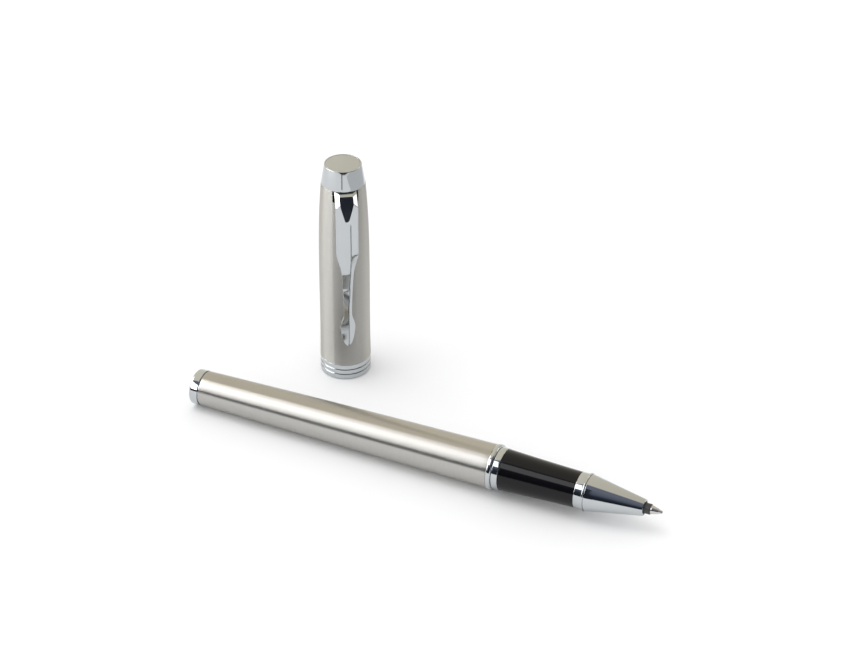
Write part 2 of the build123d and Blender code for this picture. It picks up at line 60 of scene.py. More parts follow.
def axis_frame(point, along, across):
    """Matrix of a local frame in millimetres: Z along a turned piece's axis, X across it."""
    z = along.normalized()
    y = z.cross(across).normalized()
    x = y.cross(z)
    turn = Matrix((x, y, z)).transposed().to_4x4()
    return Matrix.Translation(point) @ turn @ Matrix.Scale(MM, 4)


PEN = axis_frame(PEN_POINT, PEN_DIRECTION, Vector((0, -1, 0)))
CLIP_OUT = UP.cross(CLIP_AXIS).normalized()    # from the cap's axis to the clip
CAP = axis_frame(CAP_POINT, UP, CLIP_OUT)


class Gauge:
    """Measures a CAD node about an axis, in millimetres."""
    OUTSIDE = 50                 # a distance that is outside every piece

    def __init__(self, node, place):
        to_local = place.inverted()
        mesh = frame["nodes"][node].data
        points = [to_local @ vertex.co for vertex in mesh.vertices]
        faces = [tuple(face.vertices) for face in mesh.polygons]
        self.tree = BVHTree.FromPolygons(points, faces)
        self.low = min(point.z for point in points)
        self.high = max(point.z for point in points)
        self.middle = (self.low + self.high) / 2
        self.reach = max(math.hypot(point.x, point.y) for point in points)

    def outer(self, run, bearing=90.0):
        """Outside radius at a place along the axis."""
        way = self.way(bearing)
        start = way * self.OUTSIDE + Vector((0, 0, run))
        return math.hypot(*self.tree.ray_cast(start, -way)[0].xy)

    def inner(self, run, bearing=90.0):
        """Inside radius at a place along the axis."""
        start = Vector((0, 0, run))
        return math.hypot(*self.tree.ray_cast(start, self.way(bearing))[0].xy)

    @staticmethod
    def way(bearing):
        """Direction away from the axis, at a bearing in degrees."""
        angle = math.radians(bearing)
        return Vector((math.cos(angle), math.sin(angle), 0))


# ---- mesh helpers --------------------------------------------------------------------------
SHARP_ANGLE = 32.0               # edges that turn by more than this many degrees look sharp


def shade(data, sharp=SHARP_ANGLE):
    """Smooth shading, apart from the edges that look sharp."""
    data.shade_smooth()
    data.set_sharp_from_angle(angle=math.radians(sharp))


def link_mesh(name, mesh):
    """Object from a bmesh drawn in the frame."""
    data = bpy.data.meshes.new(name)
    mesh.to_mesh(data)
    mesh.free()
    piece = bpy.data.objects.new(name, data)
    bpy.context.scene.collection.objects.link(piece)
    return piece


def finish_mesh(name, mesh, place, sharp=SHARP_ANGLE):
    """Smooth object from a bmesh drawn in a local frame in millimetres."""
    mesh.transform(place)
    bmesh.ops.recalc_face_normals(mesh, faces=mesh.faces)
    piece = link_mesh(name, mesh)
    shade(piece.data, sharp)
    return piece


def link_sheet(name, corners):
    """Flat sheet with the given corners, in the frame's metres."""
    mesh = bmesh.new()
    mesh.faces.new([mesh.verts.new(corner) for corner in corners])
    return link_mesh(name, mesh)


def rounded(points, rounds, steps=6):
    """Closed (radius, run) outline with the corners named in rounds {index: radius} rounded."""
    result = []
    count = len(points)
    for index, corner in enumerate(points):
        size = rounds.get(index, 0)
        here = Vector(corner)
        if not size:
            result.append(here)
            continue
        before = Vector(points[index - 1]) - here
        after = Vector(points[(index + 1) % count]) - here
        half = before.angle(after) / 2
        reach = min(size / math.tan(half), before.length * 0.49, after.length * 0.49)
        start = here + before.normalized() * reach
        end = here + after.normalized() * reach
        for step in range(steps + 1):
            t = step / steps
            result.append(start * (1 - t) ** 2 + here * 2 * t * (1 - t) + end * t ** 2)
    return result


def turned_mesh(outline):
    """Solid of revolution about Z of a closed (radius, run) outline, with a UV round and along."""
    mesh = bmesh.new()
    uv = mesh.loops.layers.uv.new("turned")
    angles = [2 * math.pi * k / TURN_STEPS for k in range(TURN_STEPS)]
    rings = []
    for radius, run in outline:
        if radius < 1e-6:
            rings.append([mesh.verts.new((0, 0, run))] * TURN_STEPS)
        else:
            rings.append([mesh.verts.new((radius * math.cos(a), radius * math.sin(a), run))
                          for a in angles])
    lengths = [0.0]
    for index in range(len(outline)):
        step = Vector(outline[(index + 1) % len(outline)]) - Vector(outline[index])
        lengths.append(lengths[-1] + step.length)
    for index in range(len(rings)):
        lower, upper = rings[index], rings[(index + 1) % len(rings)]
        if lower[0] is lower[1] and upper[0] is upper[1]:
            continue
        for k in range(TURN_STEPS):
            n = (k + 1) % TURN_STEPS
            corners = [(lower[k], k, index), (lower[n], k + 1, index),
                       (upper[n], k + 1, index + 1), (upper[k], k, index + 1)]
            kept = []            # a ring on the axis is one point, so its faces have three corners
            for corner in corners:
                if all(corner[0] is not other[0] for other in kept):
                    kept.append(corner)
            if len(kept) < 3:
                continue
            face = mesh.faces.new([vertex for vertex, _, _ in kept])
            for loop, (_, turn, row) in zip(face.loops, kept):
                loop[uv].uv = (turn / TURN_STEPS, lengths[row] * UV_PER_MM)
    return mesh


def turned(name, body, nodes, outline, place, material):
    """Turned piece that stands for CAD nodes and rides on their body."""
    piece = finish_mesh(name, turned_mesh(outline), place)
    piece.data.materials.append(material)
    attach(piece, body)
    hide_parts(*nodes)


def arc(low, high, radii):
    """Points of the parabola through three radii at the start, middle and end of a run."""
    steps = 48
    first, middle, last = radii
    bow = middle - (first + last) / 2
    return [(first + (last - first) * t + 4 * bow * t * (1 - t), low + (high - low) * t)
            for t in (step / steps for step in range(steps + 1))]


# ---- materials -----------------------------------------------------------------------------
FINE_BUMP = 0.00002              # depth of the finest surface grain, in metres


class NodeTree:
    """Short way to write a node tree."""

    def __init__(self, tree):
        self.tree = tree

    def add(self, kind, inputs=None, **settings):
        """New node, with its inputs linked to a socket or set to a value."""
        node = self.tree.nodes.new(kind)
        for key, value in settings.items():
            setattr(node, key, value)
        for key, value in (inputs or {}).items():
            if isinstance(value, bpy.types.NodeSocket):
                self.tree.links.new(value, node.inputs[key])
            else:
                node.inputs[key].default_value = value
        return node


class Nodes(NodeTree):
    """Node tree of a new material."""

    def __init__(self, name):
        self.material = bpy.data.materials.new(name)
        self.material.use_nodes = True
        super().__init__(self.material.node_tree)
        self.shader = self.tree.nodes["Principled BSDF"]

    def set(self, **values):
        """Sets or links inputs of the material's surface shader."""
        for key, value in values.items():
            socket = self.shader.inputs[key.replace("_", " ")]
            if isinstance(value, bpy.types.NodeSocket):
                self.tree.links.new(value, socket)
            else:
                socket.default_value = value

    def noise(self, vector, scale, detail=3.0, roughness=0.55):
        """Noise from 0 to 1, with its scale in waves a metre."""
        return self.add("ShaderNodeTexNoise", {"Vector": vector, "Scale": scale, "Detail": detail,
                                               "Roughness": roughness}).outputs["Fac"]

    def span(self, value, low, high):
        """Maps a 0 to 1 value to low to high."""
        return self.add("ShaderNodeMapRange", {"Value": value, "To Min": low,
                                               "To Max": high}).outputs["Result"]

    def blend(self, value, first, second):
        """Colour between two colours."""
        mix = self.add("ShaderNodeMix", {"Factor": value, "A": (*first, 1), "B": (*second, 1)},
                       data_type="RGBA")
        return mix.outputs["Result"]

    def stretched(self, scale=(1, 1, 1)):
        """Place in the frame, scaled along each axis."""
        where = self.add("ShaderNodeTexCoord").outputs["Object"]
        return self.add("ShaderNodeMapping", {"Vector": where, "Scale": scale}).outputs["Vector"]

    def bump(self, height, strength, distance=FINE_BUMP):
        """Surface grain from a 0 to 1 height."""
        made = self.add("ShaderNodeBump", {"Height": height, "Strength": strength,
                                           "Distance": distance})
        self.set(Normal=made.outputs["Normal"])


def along_axis(nodes, direction, point):
    """Distance along a piece's own axis, in metres, from its place in the frame."""
    where = nodes.add("ShaderNodeTexCoord").outputs["Object"]
    moved = nodes.add("ShaderNodeVectorMath", {0: where, 1: tuple(point)}, operation="SUBTRACT")
    return nodes.add("ShaderNodeVectorMath", {0: moved.outputs[0], 1: tuple(direction)},
                     operation="DOT_PRODUCT").outputs["Value"]


def hairlines(nodes, run, around=0.04):
    """Fine lines round a turned piece: noise that changes quickly along it and slowly round it."""
    where = nodes.add("ShaderNodeTexCoord").outputs["Object"]
    slow = nodes.add("ShaderNodeVectorMath", {0: where, "Scale": around}, operation="SCALE")
    offset = nodes.add("ShaderNodeCombineXYZ", {"X": run})
    joined = nodes.add("ShaderNodeVectorMath", {0: slow.outputs[0], 1: offset.outputs[0]},
                       operation="ADD").outputs[0]
    fine = nodes.noise(joined, 9000, 4.0, 0.6)
    broad = nodes.noise(joined, 2600, 2.0, 0.5)
    share = nodes.add("ShaderNodeMath", {0: broad, 1: 0.25}, operation="MULTIPLY").outputs[0]
    return nodes.add("ShaderNodeMath", {0: fine, 1: 0.75, 2: share},
                     operation="MULTIPLY_ADD").outputs[0]


def brushed_shell(name, direction, point, dark, light):
    """Fine brushed stainless, with the lines running round the tube."""
    nodes = Nodes(name)
    lines = hairlines(nodes, along_axis(nodes, direction, point))
    nodes.set(Base_Color=nodes.blend(lines, dark, light), Metallic=1.0,
              Roughness=nodes.span(lines, 0.31, 0.37), Anisotropic=1.0, Anisotropic_Rotation=0.25)
    tangent = nodes.add("ShaderNodeTangent", direction_type="UV_MAP", uv_map="turned")
    nodes.set(Tangent=tangent.outputs["Tangent"])
    nodes.bump(lines, 0.08)
    return nodes.material


def chrome():
    """Mirror chrome plate with the faintest uneven gloss."""
    nodes = Nodes("polished_chrome")
    smear = nodes.noise(nodes.stretched(), 220, 3.0, 0.6)
    nodes.set(Base_Color=nodes.blend(smear, (0.50, 0.525, 0.54), (0.54, 0.565, 0.58)),
              Metallic=1.0, Roughness=nodes.span(smear, 0.035, 0.075))
    return nodes.material


def lacquer():
    """Gloss black lacquer with the faintest orange peel."""
    nodes = Nodes("black_lacquer")
    peel = nodes.noise(nodes.stretched(), 900, 2.0, 0.5)
    nodes.set(Base_Color=nodes.blend(peel, (0.002, 0.002, 0.003), (0.004, 0.004, 0.005)),
              Roughness=nodes.span(peel, 0.07, 0.12), IOR=1.345)
    nodes.bump(peel, 0.03)
    return nodes.material


def satin_disc():
    """Satin metal inlay in the crown, finely matt."""
    nodes = Nodes("satin_disc")
    grain = nodes.noise(nodes.stretched(), 6000, 4.0, 0.7)
    cloud = nodes.noise(nodes.stretched(), 260, 2.0, 0.5)
    both = nodes.add("ShaderNodeMath", {0: grain, 1: cloud}, operation="MULTIPLY").outputs[0]
    nodes.set(Base_Color=nodes.blend(both, (0.47, 0.48, 0.475), (0.57, 0.58, 0.575)), Metallic=1.0,
              Roughness=nodes.span(grain, 0.42, 0.56))
    nodes.bump(grain, 0.15)
    return nodes.material


def plastic(name, dark, light, roughness):
    """Moulded plastic with a fine even grain."""
    nodes = Nodes(name)
    grain = nodes.noise(nodes.stretched(), 3500, 3.0, 0.6)
    nodes.set(Base_Color=nodes.blend(grain, dark, light),
              Roughness=nodes.span(grain, roughness - 0.06, roughness + 0.08))
    nodes.bump(grain, 0.12)
    return nodes.material


def machined(name, dark, light, roughness, direction, point):
    """Turned metal with the tool's fine rings round it."""
    nodes = Nodes(name)
    lines = hairlines(nodes, along_axis(nodes, direction, point), 0.02)
    nodes.set(Base_Color=nodes.blend(lines, dark, light), Metallic=1.0,
              Roughness=nodes.span(lines, roughness - 0.05, roughness + 0.1))
    nodes.bump(lines, 0.03)
    return nodes.material


def fibre():
    """Bonded ink-soaked fibre, streaked lengthwise."""
    nodes = Nodes("ink_fibre")
    streak = nodes.noise(nodes.stretched((60, 2500, 2500)), 1.0, 3.0, 0.6)
    nodes.set(Base_Color=nodes.blend(streak, (0.012, 0.016, 0.06), (0.05, 0.06, 0.16)),
              Roughness=0.85, Sheen_Weight=0.2)
    nodes.bump(streak, 0.3, 0.00005)
    return nodes.material


BARREL_STEEL = brushed_shell("brushed_barrel", PEN_DIRECTION, PEN_POINT,
                             (0.46, 0.45, 0.425), (0.57, 0.56, 0.535))
CAP_STEEL = brushed_shell("brushed_cap", UP, CAP_POINT, (0.41, 0.405, 0.38), (0.51, 0.505, 0.48))
CHROME = chrome()
LACQUER = lacquer()
SATIN = satin_disc()
BLACK_PLASTIC = plastic("black_plastic", (0.018, 0.018, 0.02), (0.035, 0.035, 0.037), 0.38)
COLLAR_PLASTIC = plastic("collar_plastic", (0.022, 0.021, 0.021), (0.045, 0.043, 0.042), 0.42)
REFILL_PLASTIC = plastic("refill_plastic", (0.55, 0.56, 0.55), (0.68, 0.68, 0.66), 0.34)
BRASS = machined("brass", (0.64, 0.48, 0.23), (0.74, 0.58, 0.31), 0.24, PEN_DIRECTION, PEN_POINT)
# brass painted near black: painted shade on the crown bush, seen deep in the clip's notch
NOTCH_SHADE_BRASS = machined("brass_painted_notch_shade", (0.022, 0.020, 0.018), (0.045, 0.04, 0.035), 0.45,
                           UP, CAP_POINT)
SPRING_STEEL = machined("spring_steel", (0.45, 0.45, 0.46), (0.62, 0.62, 0.63), 0.28, UP, CAP_POINT)
POINT_STEEL = machined("point_steel", (0.50, 0.49, 0.48), (0.70, 0.69, 0.67), 0.18,
                       PEN_DIRECTION, PEN_POINT)
FIBRE = fibre()


# ---- the pen -------------------------------------------------------------------------------
def measured_tube(name, body, node, material):
    """Finer turned copy of a CAD tube on the pen's axis, from its own outline."""
    gauge = Gauge(node, PEN)
    spacing = 0.06
    least_step = 0.002
    count = round((gauge.high - gauge.low) / spacing)
    runs = [gauge.low + (gauge.high - gauge.low) * k / count for k in range(count + 1)]

    def side(measure):
        """One side's outline, without the points in the middle of a level stretch."""
        radii = [measure(min(max(run, gauge.low + PROBE), gauge.high - PROBE)) for run in runs]
        padded = [0] + radii + [0]
        return [(radius, run) for radius, run, before, after
                in zip(radii, runs, padded, padded[2:])
                if abs(radius - before) > least_step or abs(after - radius) > least_step]

    outline = side(gauge.outer) + side(gauge.inner)[::-1]
    turned(name, body, [node], outline, PEN, material)


def build_barrel():
    """Barrel shell, tail button with its groove, and the polished bead at the barrel's mouth."""
    gauge = Gauge("barrel_tube", PEN)
    low, high = gauge.low, gauge.high
    edge = 0.4
    # both end radii are measured a little inside the tube and carried on to its end
    outside = arc(low, high, (gauge.outer(low + edge) - 0.005, gauge.outer(gauge.middle),
                              gauge.outer(high - edge) + 0.003))
    wall = gauge.outer(gauge.middle) - gauge.inner(gauge.middle)
    inside = [(radius - wall, run) for radius, run in reversed(outside)]
    outline = outside + inside
    last = len(outside) - 1
    turned("barrel_shell", "barrel", ["barrel_tube"], rounded(outline, {0: 0.05, last: 0.05}, 3),
           PEN, BARREL_STEEL)

    gauge = Gauge("tail_cap", PEN)
    joint = low
    reach = gauge.outer(joint - 1.0)
    groove = 0.34
    spigot_r = 1.6
    outline = [(0, gauge.low), (reach, gauge.low), (reach, joint - groove),
               (reach - groove, joint - groove), (reach - groove, joint), (spigot_r, joint),
               (spigot_r, gauge.high), (0, gauge.high)]
    turned("tail_button", "barrel", ["tail_cap"], rounded(outline, {1: 0.55, 2: 0.04}, 10), PEN,
           CHROME)

    gauge = Gauge("barrel_lip_ring", PEN)
    bore = gauge.inner(gauge.middle)
    bead = gauge.reach
    outline = [(bore, gauge.low), (bead, gauge.low), (bead, gauge.high), (bore, gauge.high)]
    turned("lip_bead", "barrel", ["barrel_lip_ring"],
           rounded(outline, {1: 0.45, 2: 0.55, 3: 0.05}, 12), PEN, CHROME)


def build_section():
    """Collar ring, lacquered grip, front band and nose cone."""
    gauge = Gauge("section_collar", PEN)
    bore = gauge.inner(gauge.middle)
    outline = [(bore, gauge.low), (gauge.outer(gauge.low + 0.15) - 0.05, gauge.low),
               (gauge.outer(gauge.high - 0.15), gauge.high), (bore, gauge.high)]
    turned("collar_band", "section_ring", ["section_collar"],
           rounded(outline, {1: 0.14, 2: 0.14}, 6), PEN, CHROME)

    gauge = Gauge("grip", PEN)
    low, high = gauge.low, gauge.high
    bore = gauge.inner(gauge.middle)
    outside = arc(low, high, (gauge.outer(low + 0.2), gauge.outer(gauge.middle),
                              gauge.outer(high - 0.1)))
    outline = [(bore, low)] + outside + [(bore, high)]
    turned("grip_shell", "section", ["grip"],
           rounded(outline, {1: 0.15, len(outline) - 2: 0.04}, 6), PEN, LACQUER)

    gauge = Gauge("front_ring", PEN)
    bore = gauge.inner(gauge.middle)
    reach = gauge.reach
    outline = [(bore, gauge.low), (reach, gauge.low), (reach, gauge.high), (bore, gauge.high)]
    turned("front_band", "section", ["front_ring"], rounded(outline, {1: 0.1, 2: 0.1}, 5), PEN,
           CHROME)
    build_cone(gauge.high)


def build_cone(rear):
    """Nose cone: bead against the front band, a fine groove, then the long taper."""
    gauge = Gauge("nose_cone", PEN)
    bead = gauge.reach
    bead_end = rear + 0.44
    cone_start = rear + 0.60
    groove_r = gauge.outer(cone_start + 0.1) - 0.16
    front_r = 1.98
    mouth = gauge.inner(gauge.high - 0.3)
    spigot_r = gauge.outer(gauge.low + 0.2)
    bore = gauge.inner(gauge.low + 0.2)
    outline = [(bore, gauge.low), (spigot_r, gauge.low), (spigot_r, rear), (bead, rear),
               (bead, bead_end), (groove_r, bead_end), (groove_r, cone_start),
               (gauge.outer(cone_start + 0.05) + 0.01, cone_start), (front_r, gauge.high),
               (mouth, gauge.high), (mouth, gauge.high - 4.0), (bore, cone_start + 0.95)]
    turned("cone_shell", "section", ["nose_cone"],
           rounded(outline, {3: 0.18, 4: 0.18, 7: 0.06, 8: 0.14, 9: 0.08}, 8), PEN, CHROME)


def build_point():
    """Front collar, writing point and ball of the refill."""
    gauge = Gauge("point_collar", PEN)
    bore = 0.6
    reach = gauge.reach
    outline = [(bore, gauge.low), (reach, gauge.low), (reach, gauge.high), (bore, gauge.high)]
    turned("refill_collar", "refill", ["point_collar"], rounded(outline, {2: 0.2}, 6), PEN,
           COLLAR_PLASTIC)
    face = gauge.high
    gauge = Gauge("writing_point", PEN)
    rear_r = gauge.reach
    stem_r = 0.62
    shoulder = face + 0.35
    neck = gauge.high - 0.75
    tip = gauge.high
    outline = [(0, gauge.low), (stem_r, gauge.low), (stem_r, face), (rear_r, face),
               (rear_r, shoulder), (0.60, neck), (0.47, neck + 0.08), (0.37, tip), (0.30, tip),
               (0, tip - 0.2)]
    turned("point_cone", "refill", ["writing_point"], rounded(outline, {3: 0.05, 4: 0.08}, 4), PEN,
           POINT_STEEL)
    gauge = Gauge("writing_ball", PEN)
    ball_r = (gauge.high - gauge.low) / 2
    steps = 24
    angles = [math.pi * k / steps for k in range(steps + 1)]
    outline = [(ball_r * math.sin(angle), gauge.middle - ball_r * math.cos(angle))
               for angle in angles]
    outline[0] = (0, outline[0][1])
    outline[-1] = (0, outline[-1][1])
    turned("ball", "ball", ["writing_ball"], outline, PEN, POINT_STEEL)


# ---- the cap -------------------------------------------------------------------------------
def cut_notch(piece, half_width, floor, top):
    """Cuts the clip's notch out of the top edge of the cap tube."""
    cutter_mesh = bmesh.new()
    bmesh.ops.create_cube(cutter_mesh, size=1)
    near, far = 3.0, 11.0        # distances from the axis, on both sides of the wall
    over = 2.0                   # how far the cutter stands above the edge
    place = Matrix.Translation(((near + far) / 2, 0, (floor + top + over) / 2))
    size = Matrix.Diagonal((far - near, 2 * half_width, top - floor + over, 1))
    bmesh.ops.transform(cutter_mesh, matrix=place @ size, verts=cutter_mesh.verts)
    cutter = finish_mesh("notch_cutter", cutter_mesh, CAP)
    cut = piece.modifiers.new("notch", "BOOLEAN")
    cut.operation = "DIFFERENCE"
    cut.solver = "EXACT"
    cut.object = cutter
    seen = piece.evaluated_get(bpy.context.evaluated_depsgraph_get())
    data = bpy.data.meshes.new_from_object(seen)
    piece.modifiers.clear()
    piece.data = data
    bpy.data.objects.remove(cutter)


def build_cap_tube():
    """Cap shell from the CAD tube's outline on the side away from the clip."""
    gauge = Gauge("cap_tube", CAP)
    low, high = gauge.low, gauge.high
    back = 180.0
    edge = 0.15
    steps = 60
    outside = []
    for step in range(steps + 1):
        run = low + (high - low) * step / steps
        near = min(max(run, low + edge), high - edge)
        outside.append((gauge.outer(near, back), run))
    for _ in range(2):           # evens out the facets of the CAD mesh
        outside = [outside[0]] + [
            ((outside[k - 1][0] + 2 * outside[k][0] + outside[k + 1][0]) / 4, outside[k][1])
            for k in range(1, steps)] + [outside[-1]]
    wall = gauge.outer(high - 10, back) - gauge.inner(high - 10, back)
    inside = [(radius - wall, run) for radius, run in reversed(outside)]
    outline = rounded(outside + inside, {0: 0.04, steps: 0.04}, 3)
    piece = finish_mesh("cap_shell", turned_mesh(outline), CAP)
    gap = 0.4
    notch_depth = 3.0
    cut_notch(piece, BLADE_HALF + gap, high - notch_depth, high)
    shade(piece.data)
    piece.data.materials.clear()
    piece.data.materials.append(CAP_STEEL)
    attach(piece, "cap")
    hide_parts("cap_tube")


def build_lip_ring():
    """Polished ring at the cap's mouth, with two grooves."""
    gauge = Gauge("cap_lip_ring", CAP)
    bore = gauge.inner(2.0)
    reach = gauge.reach
    depth = 0.2
    half = 0.13
    grooves = [gauge.high - 2.70, gauge.high - 1.35]
    outline = [(bore, 0), (reach, 0)]
    rounds = {1: 0.5}
    for row in grooves:
        first = len(outline)
        outline += [(reach, row - half), (reach - depth, row - half), (reach - depth, row + half),
                    (reach, row + half)]
        rounds[first] = 0.12
        rounds[first + 3] = 0.12
    outline += [(reach, gauge.high), (bore, gauge.high)]
    rounds[len(outline) - 2] = 0.1
    turned("lip_ring", "cap", ["cap_lip_ring"], rounded(outline, rounds, 6), CAP, CHROME)


def build_crown():
    """Polished crown with the satin disc let into its top."""
    gauge = Gauge("crown", CAP)
    base = gauge.outer(gauge.low + 0.05)
    top_r = gauge.outer(gauge.high - 0.3) - 0.03
    disc = Gauge("crown_disc", CAP)
    outline = [(0, gauge.low), (base, gauge.low), (top_r, gauge.high), (disc.reach, gauge.high),
               (disc.reach, disc.low), (0, disc.low)]
    turned("crown_shell", "cap", ["crown"], rounded(outline, {1: 0.06, 2: 0.16, 3: 0.03}, 6), CAP,
           CHROME)
    outline = [(0, disc.low), (disc.reach, disc.low), (disc.reach, disc.high - 0.03),
               (0, disc.high - 0.03)]
    turned("crown_inlay", "cap", ["crown_disc"], rounded(outline, {2: 0.1}, 5), CAP, SATIN)


# ---- the clip, in millimetres --------------------------------------------------------------
BLADE_HALF = 2.75                # half widths
NECK_HALF = 1.5
STEM_HALF = 1.05
LEAF_HALF = 1.85
CLIP_FACE_R = 8.33               # front of the blade at its shoulder
RAMP_TOP_R = 6.80                # where the sunk ramp leaves the fold
RAMP_END = 6.8                   # distance below the clip's top where the ramp meets the blade
RAMP_SHARE = 0.60                # the ramp's width as a share of the blade's
RAMP_NARROWING = 0.095           # how much of that share the V loses in a millimetre
RAMP_STRAIGHT = 1.9              # how far down the ramp's sides stay parallel
FOLD_DROP = 0.45                 # how far below the clip's top its folded edge ends
CHAMFER_DOWN = 1.29              # slope of the top corners' chamfers, down the blade
CHAMFER_OUT = 1.33               # the same, towards the blade's edge
CROWNING = 0.05                  # how far the blade's edges lie behind its middle line
CREASE_SLOPE = 0.155             # how fast the neck falls back below the crease
CREASE_BEND = 0.0038             # how fast that slope eases off
LEAF_FALL = 0.52                 # how far back the leaf's tip lies
DIP = 0.06                       # how far the blade left of the long step sinks towards it
STEM_LEAN = 0.36                 # how far the stem's left side falls away from the step
SHEET = 0.78                     # thickness of the clip's metal
WALL_SHARE = 0.012               # how little of the width the ramp's side walls take
GROOVE_HALF = 0.13               # fine groove along the clip's long step
GROOVE_DEEP = 0.20
EDGE_ROUND = 0.14
ROOT_R = 4.70                    # where the clip's root ends inside the cap
ROOT_THICK = 1.25
BACK_ROUND = 0.3                 # inside corner between the root and the blade
BACK_CATCH_UP = 3.6              # how far down the back's rows start lower than the front's
BACK_PACE = 0.62                 # how far they go down there for each millimetre of the front
FINE_ROW, COARSE_ROW = 0.15, 0.4  # spacing of the rows down the clip
CLIP_SHARP_ANGLE = 22.0
# the fold's outline: distance in from the front face, and down from the top
FOLD = [(0.80, 0.0), (0.74, 0.01), (0.10, 0.31), (0.02, 0.36), (0.0, FOLD_DROP)]


def ease(value, low, high):
    """Smooth 0 to 1 as a value goes from low to high."""
    t = min(max((value - low) / (high - low), 0.0), 1.0)
    return t * t * (3 - 2 * t)


class ClipShape:
    """The clip's faces by distance below its top ("drop") and share of its half width."""

    def __init__(self, top, tip):
        self.length = top - tip
        self.taper_start = top - 38.0
        self.neck_start = top - 33.2
        self.crease = top - 32.5
        self.stem_start = top - 27.6
        self.leaf_start = top - 20.5
        self.leaf_wide = top - 16.6

    def half_width(self, drop):
        """Blade, taper to the neck, slender stem, then a plain leaf at the tip."""
        if drop < self.leaf_start:
            taper = ease(drop, self.taper_start - 1.2, self.neck_start + 1.2)
            stem = ease(drop, self.neck_start - 1.0, self.leaf_start - 1.0)
            return BLADE_HALF + (NECK_HALF - BLADE_HALF) * taper + (STEM_HALF - NECK_HALF) * stem
        if drop < self.leaf_wide:
            share = ease(drop, self.leaf_start, self.leaf_wide)
            return STEM_HALF + (LEAF_HALF - STEM_HALF) * share
        t = min((drop - self.leaf_wide) / (self.length - self.leaf_wide), 1.0)
        tip_half = 0.12
        return (LEAF_HALF - tip_half) * math.sqrt(1 - t ** 1.6) + tip_half

    def face(self, drop):
        """Radius of the blade's middle line."""
        sloping = min(max(drop - self.crease, 0.0), self.stem_start - self.crease)
        bend = CLIP_FACE_R - CREASE_SLOPE * sloping + CREASE_BEND * sloping ** 2
        if drop < self.leaf_start:
            return bend
        t = (drop - self.leaf_start) / (self.length - self.leaf_start)
        return bend - LEAF_FALL * t ** 1.4

    def ramp_half(self, drop):
        """Half the ramp's width as a share of the blade's: a V with a rounded point."""
        straight = RAMP_SHARE - RAMP_NARROWING * (max(drop, RAMP_STRAIGHT) - RAMP_STRAIGHT)
        rounded_end = 0.26 * math.sqrt(max(RAMP_END - drop, 0.0))
        return min(straight, rounded_end)

    def ramp_face(self, drop):
        """Radius of the sunk ramp's floor."""
        slope = (CLIP_FACE_R - RAMP_TOP_R) / (RAMP_END - FOLD_DROP)
        return RAMP_TOP_R + slope * (drop - FOLD_DROP)

    def step_place(self, drop):
        """How far right of the middle the long step lies."""
        upper = 0.88 - 0.38 * ease(drop, self.taper_start, self.stem_start)
        return upper - 0.36 * ease(drop, self.stem_start, self.leaf_start)

    def front(self, share, drop, kind):
        """Radius of the front face, which is bent by the long step from the blade to the leaf.

        Left of the step the stem falls away from it. Right of it, from the taper down, the face
        leans back to the edge. The leaf's tip is flat again.
        """
        if kind == "ramp" and drop < RAMP_END:
            return self.ramp_face(drop)
        half = self.half_width(drop)
        across = share * half
        radius = self.face(drop) - CROWNING * (abs(across) / BLADE_HALF) ** 2
        step = self.step_place(drop)
        below_ramp = ease(drop, RAMP_END + 0.2, RAMP_END + 1.4)
        leaf_end = 1 - ease(drop, self.length - 4.0, self.length - 1.0)
        if kind == "groove":
            radius -= GROOVE_DEEP * below_ramp
        if kind != "high":
            stem = ease(drop, self.stem_start - 0.5, self.stem_start + 0.5)
            towards_step = min((across + BLADE_HALF) / (step + BLADE_HALF), 1.0)
            radius -= DIP * below_ramp * (1 - stem) * towards_step ** 1.6
            radius -= STEM_LEAN * stem * leaf_end * max(step - across, 0.0) / (step + half)
        if kind == "high" and across > step:
            lean = ease(drop, self.taper_start - 0.4, self.taper_start + 1.6)
            radius -= lean * leaf_end * (across - step) * min(0.40, 0.38 / (half - step))
        corner = max(abs(across) - RAMP_SHARE * BLADE_HALF, 0.0)
        chamfer = RAMP_TOP_R + CHAMFER_DOWN * (drop - FOLD_DROP) - CHAMFER_OUT * corner
        return min(radius, chamfer)

    def back(self, drop):
        """Radius of the back, one sheet behind the ramp or the blade."""
        return min(self.ramp_face(drop), self.face(drop)) - SHEET

    def row(self, drop):
        """Places across, each with the face that it lies on and how far its edge is rounded in."""
        half = self.half_width(drop)
        edge = min(EDGE_ROUND, half * 0.3)
        flat_end = 1 - edge / half
        spread = ease(drop, RAMP_END, RAMP_END + 2.0)
        ramp = max(self.ramp_half(drop), 0.015)
        left = -ramp - 0.30 * spread
        right = ramp + 0.02 * spread
        groove = GROOVE_HALF / half
        step = max(self.step_place(drop) / half,
                   right + WALL_SHARE + groove + 0.12 * (1 - spread) + 0.02)
        arc_angles = [math.pi / 2 * k / 4 for k in range(1, 5)]
        rounding = [(flat_end + (1 - flat_end) * math.sin(a), edge * (1 - math.cos(a)))
                    for a in arc_angles]
        places = [(-share, "blade", inset) for share, inset in reversed(rounding)]
        spans = [(-flat_end, left - WALL_SHARE, 10, "blade"), (left, right, 20, "ramp"),
                 (right + WALL_SHARE, step - groove, 6, "low"), (step, step, 0, "groove"),
                 (step + groove, flat_end, 9, "high")]
        for low, high, count, kind in spans:
            places += [(low + (high - low) * k / max(count, 1), kind, 0.0)
                       for k in range(count + 1)]
        places += [(share, "high", inset) for share, inset in rounding]
        return places


